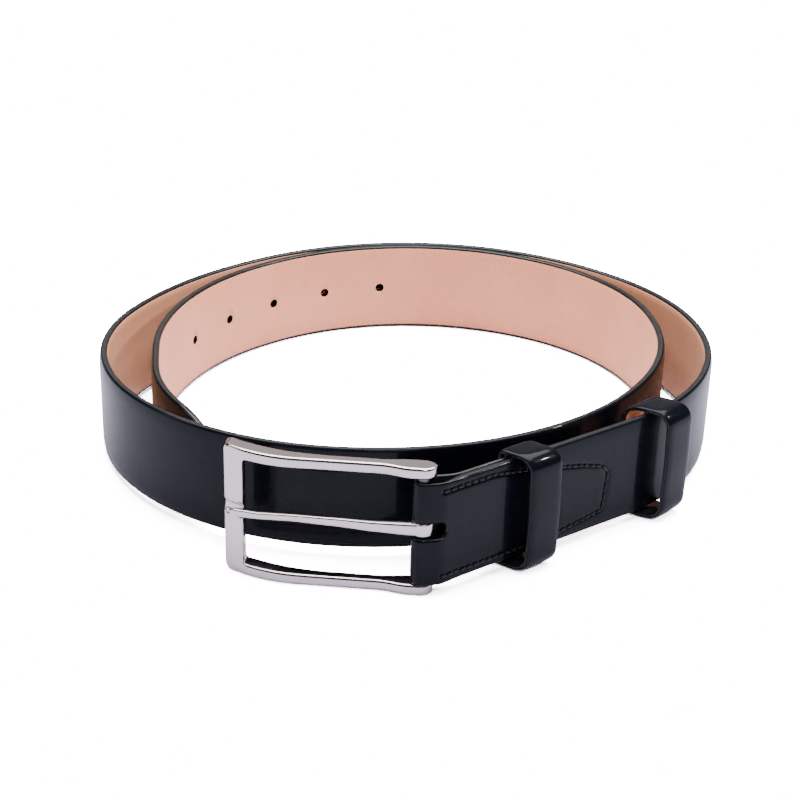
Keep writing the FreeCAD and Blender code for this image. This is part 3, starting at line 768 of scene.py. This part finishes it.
# ---------------------------------------------------------------- what moves with what
for obj in (strap_shell, strap_lining_skin, stitches) + fixed:
    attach(obj, "strap")
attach(buckle_body, "buckle")
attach(prong_body, "prong")
for obj in free:
    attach(obj, "free_keeper")
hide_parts("strap_outer_leather", "strap_filler")
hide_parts("strap_lining")
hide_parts("tab_stitching")
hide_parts("buckle_frame")
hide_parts("prong")
for name, pieces in (("fixed_keeper", fixed), ("free_keeper", free)):
    for piece, node in zip(pieces, ("outer", "lining", "staple")):
        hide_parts("%s_%s" % (name, node))
# The heel bar gets the darkened metal: painted shade for the slot it lies in.
heel_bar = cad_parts["heel_bar"]
heel_bar.data.materials.clear()
heel_bar.data.materials.append(MATERIALS["pin"])


# ---------------------------------------------------------------- stage, light and camera
def plane(name, centre, right, up, material):
    corners = [centre - right - up, centre + right - up, centre + right + up, centre - right + up]
    obj = mesh_object(name, corners, [(0, 1, 2, 3)], material, False)
    obj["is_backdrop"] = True
    return obj


def seen_directly(tree):
    """1 where the camera sees a surface itself, 0 for light that it throws on other things."""
    return tree.nodes.new("ShaderNodeLightPath").outputs["Is Camera Ray"]


def make_stage():
    """White paper, blown out where it is seen directly, with soft pale shadows left on it."""
    paper = bpy.data.materials.new("white paper")
    paper.use_nodes = True
    tree = paper.node_tree
    tree.nodes.clear()
    surface, out = tree.nodes.new("ShaderNodeBsdfDiffuse"), tree.nodes.new("ShaderNodeOutputMaterial")
    level = tree.nodes.new("ShaderNodeVectorMath")
    level.operation = "MULTIPLY_ADD"
    level.inputs[1].default_value, level.inputs[2].default_value = (9.0, 9.0, 9.0), (0.70, 0.70, 0.84)
    tree.links.new(seen_directly(tree), level.inputs[0])
    tree.links.new(level.outputs[0], surface.inputs["Color"])
    tree.links.new(surface.outputs[0], out.inputs["Surface"])
    plane("floor", Vector((0, 900, 0)), Vector((2600, 0, 0)), Vector((0, 2600, 0)), paper)


def area(name, place, target, width, height, power, colour=(1, 1, 1)):
    light = bpy.data.lights.new(name, "AREA")
    light.shape = "RECTANGLE"
    light.size, light.size_y, light.energy, light.color = width, height, power, colour
    obj = bpy.data.objects.new(name, light)
    bpy.context.scene.collection.objects.link(obj)
    obj.location = Vector(place)
    obj.rotation_euler = (Vector(target) - Vector(place)).to_track_quat("-Z", "Y").to_euler()
    return obj


def make_light():
    world = bpy.data.worlds.new("studio")
    bpy.context.scene.world = world
    world.use_nodes = True
    background = world.node_tree.nodes["Background"]
    background.inputs["Color"].default_value = (1.0, 1.0, 1.0, 1.0)
    tree = world.node_tree
    level = tree.nodes.new("ShaderNodeMath")
    level.operation = "MULTIPLY_ADD"
    level.inputs[1].default_value, level.inputs[2].default_value = 14.0, 0.06
    tree.links.new(seen_directly(tree), level.inputs[0])
    tree.links.new(level.outputs[0], background.inputs["Strength"])
    area("top", (0.0, 0.30, 1.5), (0, 0.1, 0), 2.0, 1.4, 98.0)
    area("left", (-1.25, -0.15, 0.75), (0, 0, 0.02), 0.4, 1.0, 3.0)
    area("front", (0.35, -1.5, 1.7), (0, 0, 0), 0.6, 0.4, 12.0)
    area("back", (0.0, 2.2, 1.2), (0, 0, 0.1), 3.0, 1.4, 9.0)
    area("glint", (1.2, -0.1, 0.98), (0.03, -0.08, 0.03), 0.07, 0.07, 9.0)


def make_camera():
    camera = bpy.data.cameras.new("camera")
    camera.sensor_width, camera.lens = 36.0, 77.98
    camera.clip_start, camera.clip_end = 0.02, 50.0
    obj = bpy.data.objects.new("camera", camera)
    bpy.context.scene.collection.objects.link(obj)
    pitch, roll = math.radians(90 - 25.98), math.radians(1.70)
    obj.matrix_world = (Matrix.Translation((-0.00258, -0.55155, 0.2838)) @ Matrix.Rotation(pitch, 4, "X")
                        @ Matrix.Rotation(roll, 4, "Z"))
    bpy.context.scene.camera = obj


make_stage()
make_light()
make_camera()

bounds_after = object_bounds()


def plain(value):
    """Nested lists of numbers, whatever the corners came as."""
    if isinstance(value, (int, float, str)) or value is None:
        return value
    if isinstance(value, dict):
        return {key: plain(item) for key, item in value.items()}
    return [plain(item) for item in value]


{"before": plain(bounds_before), "after": plain(bounds_after)}
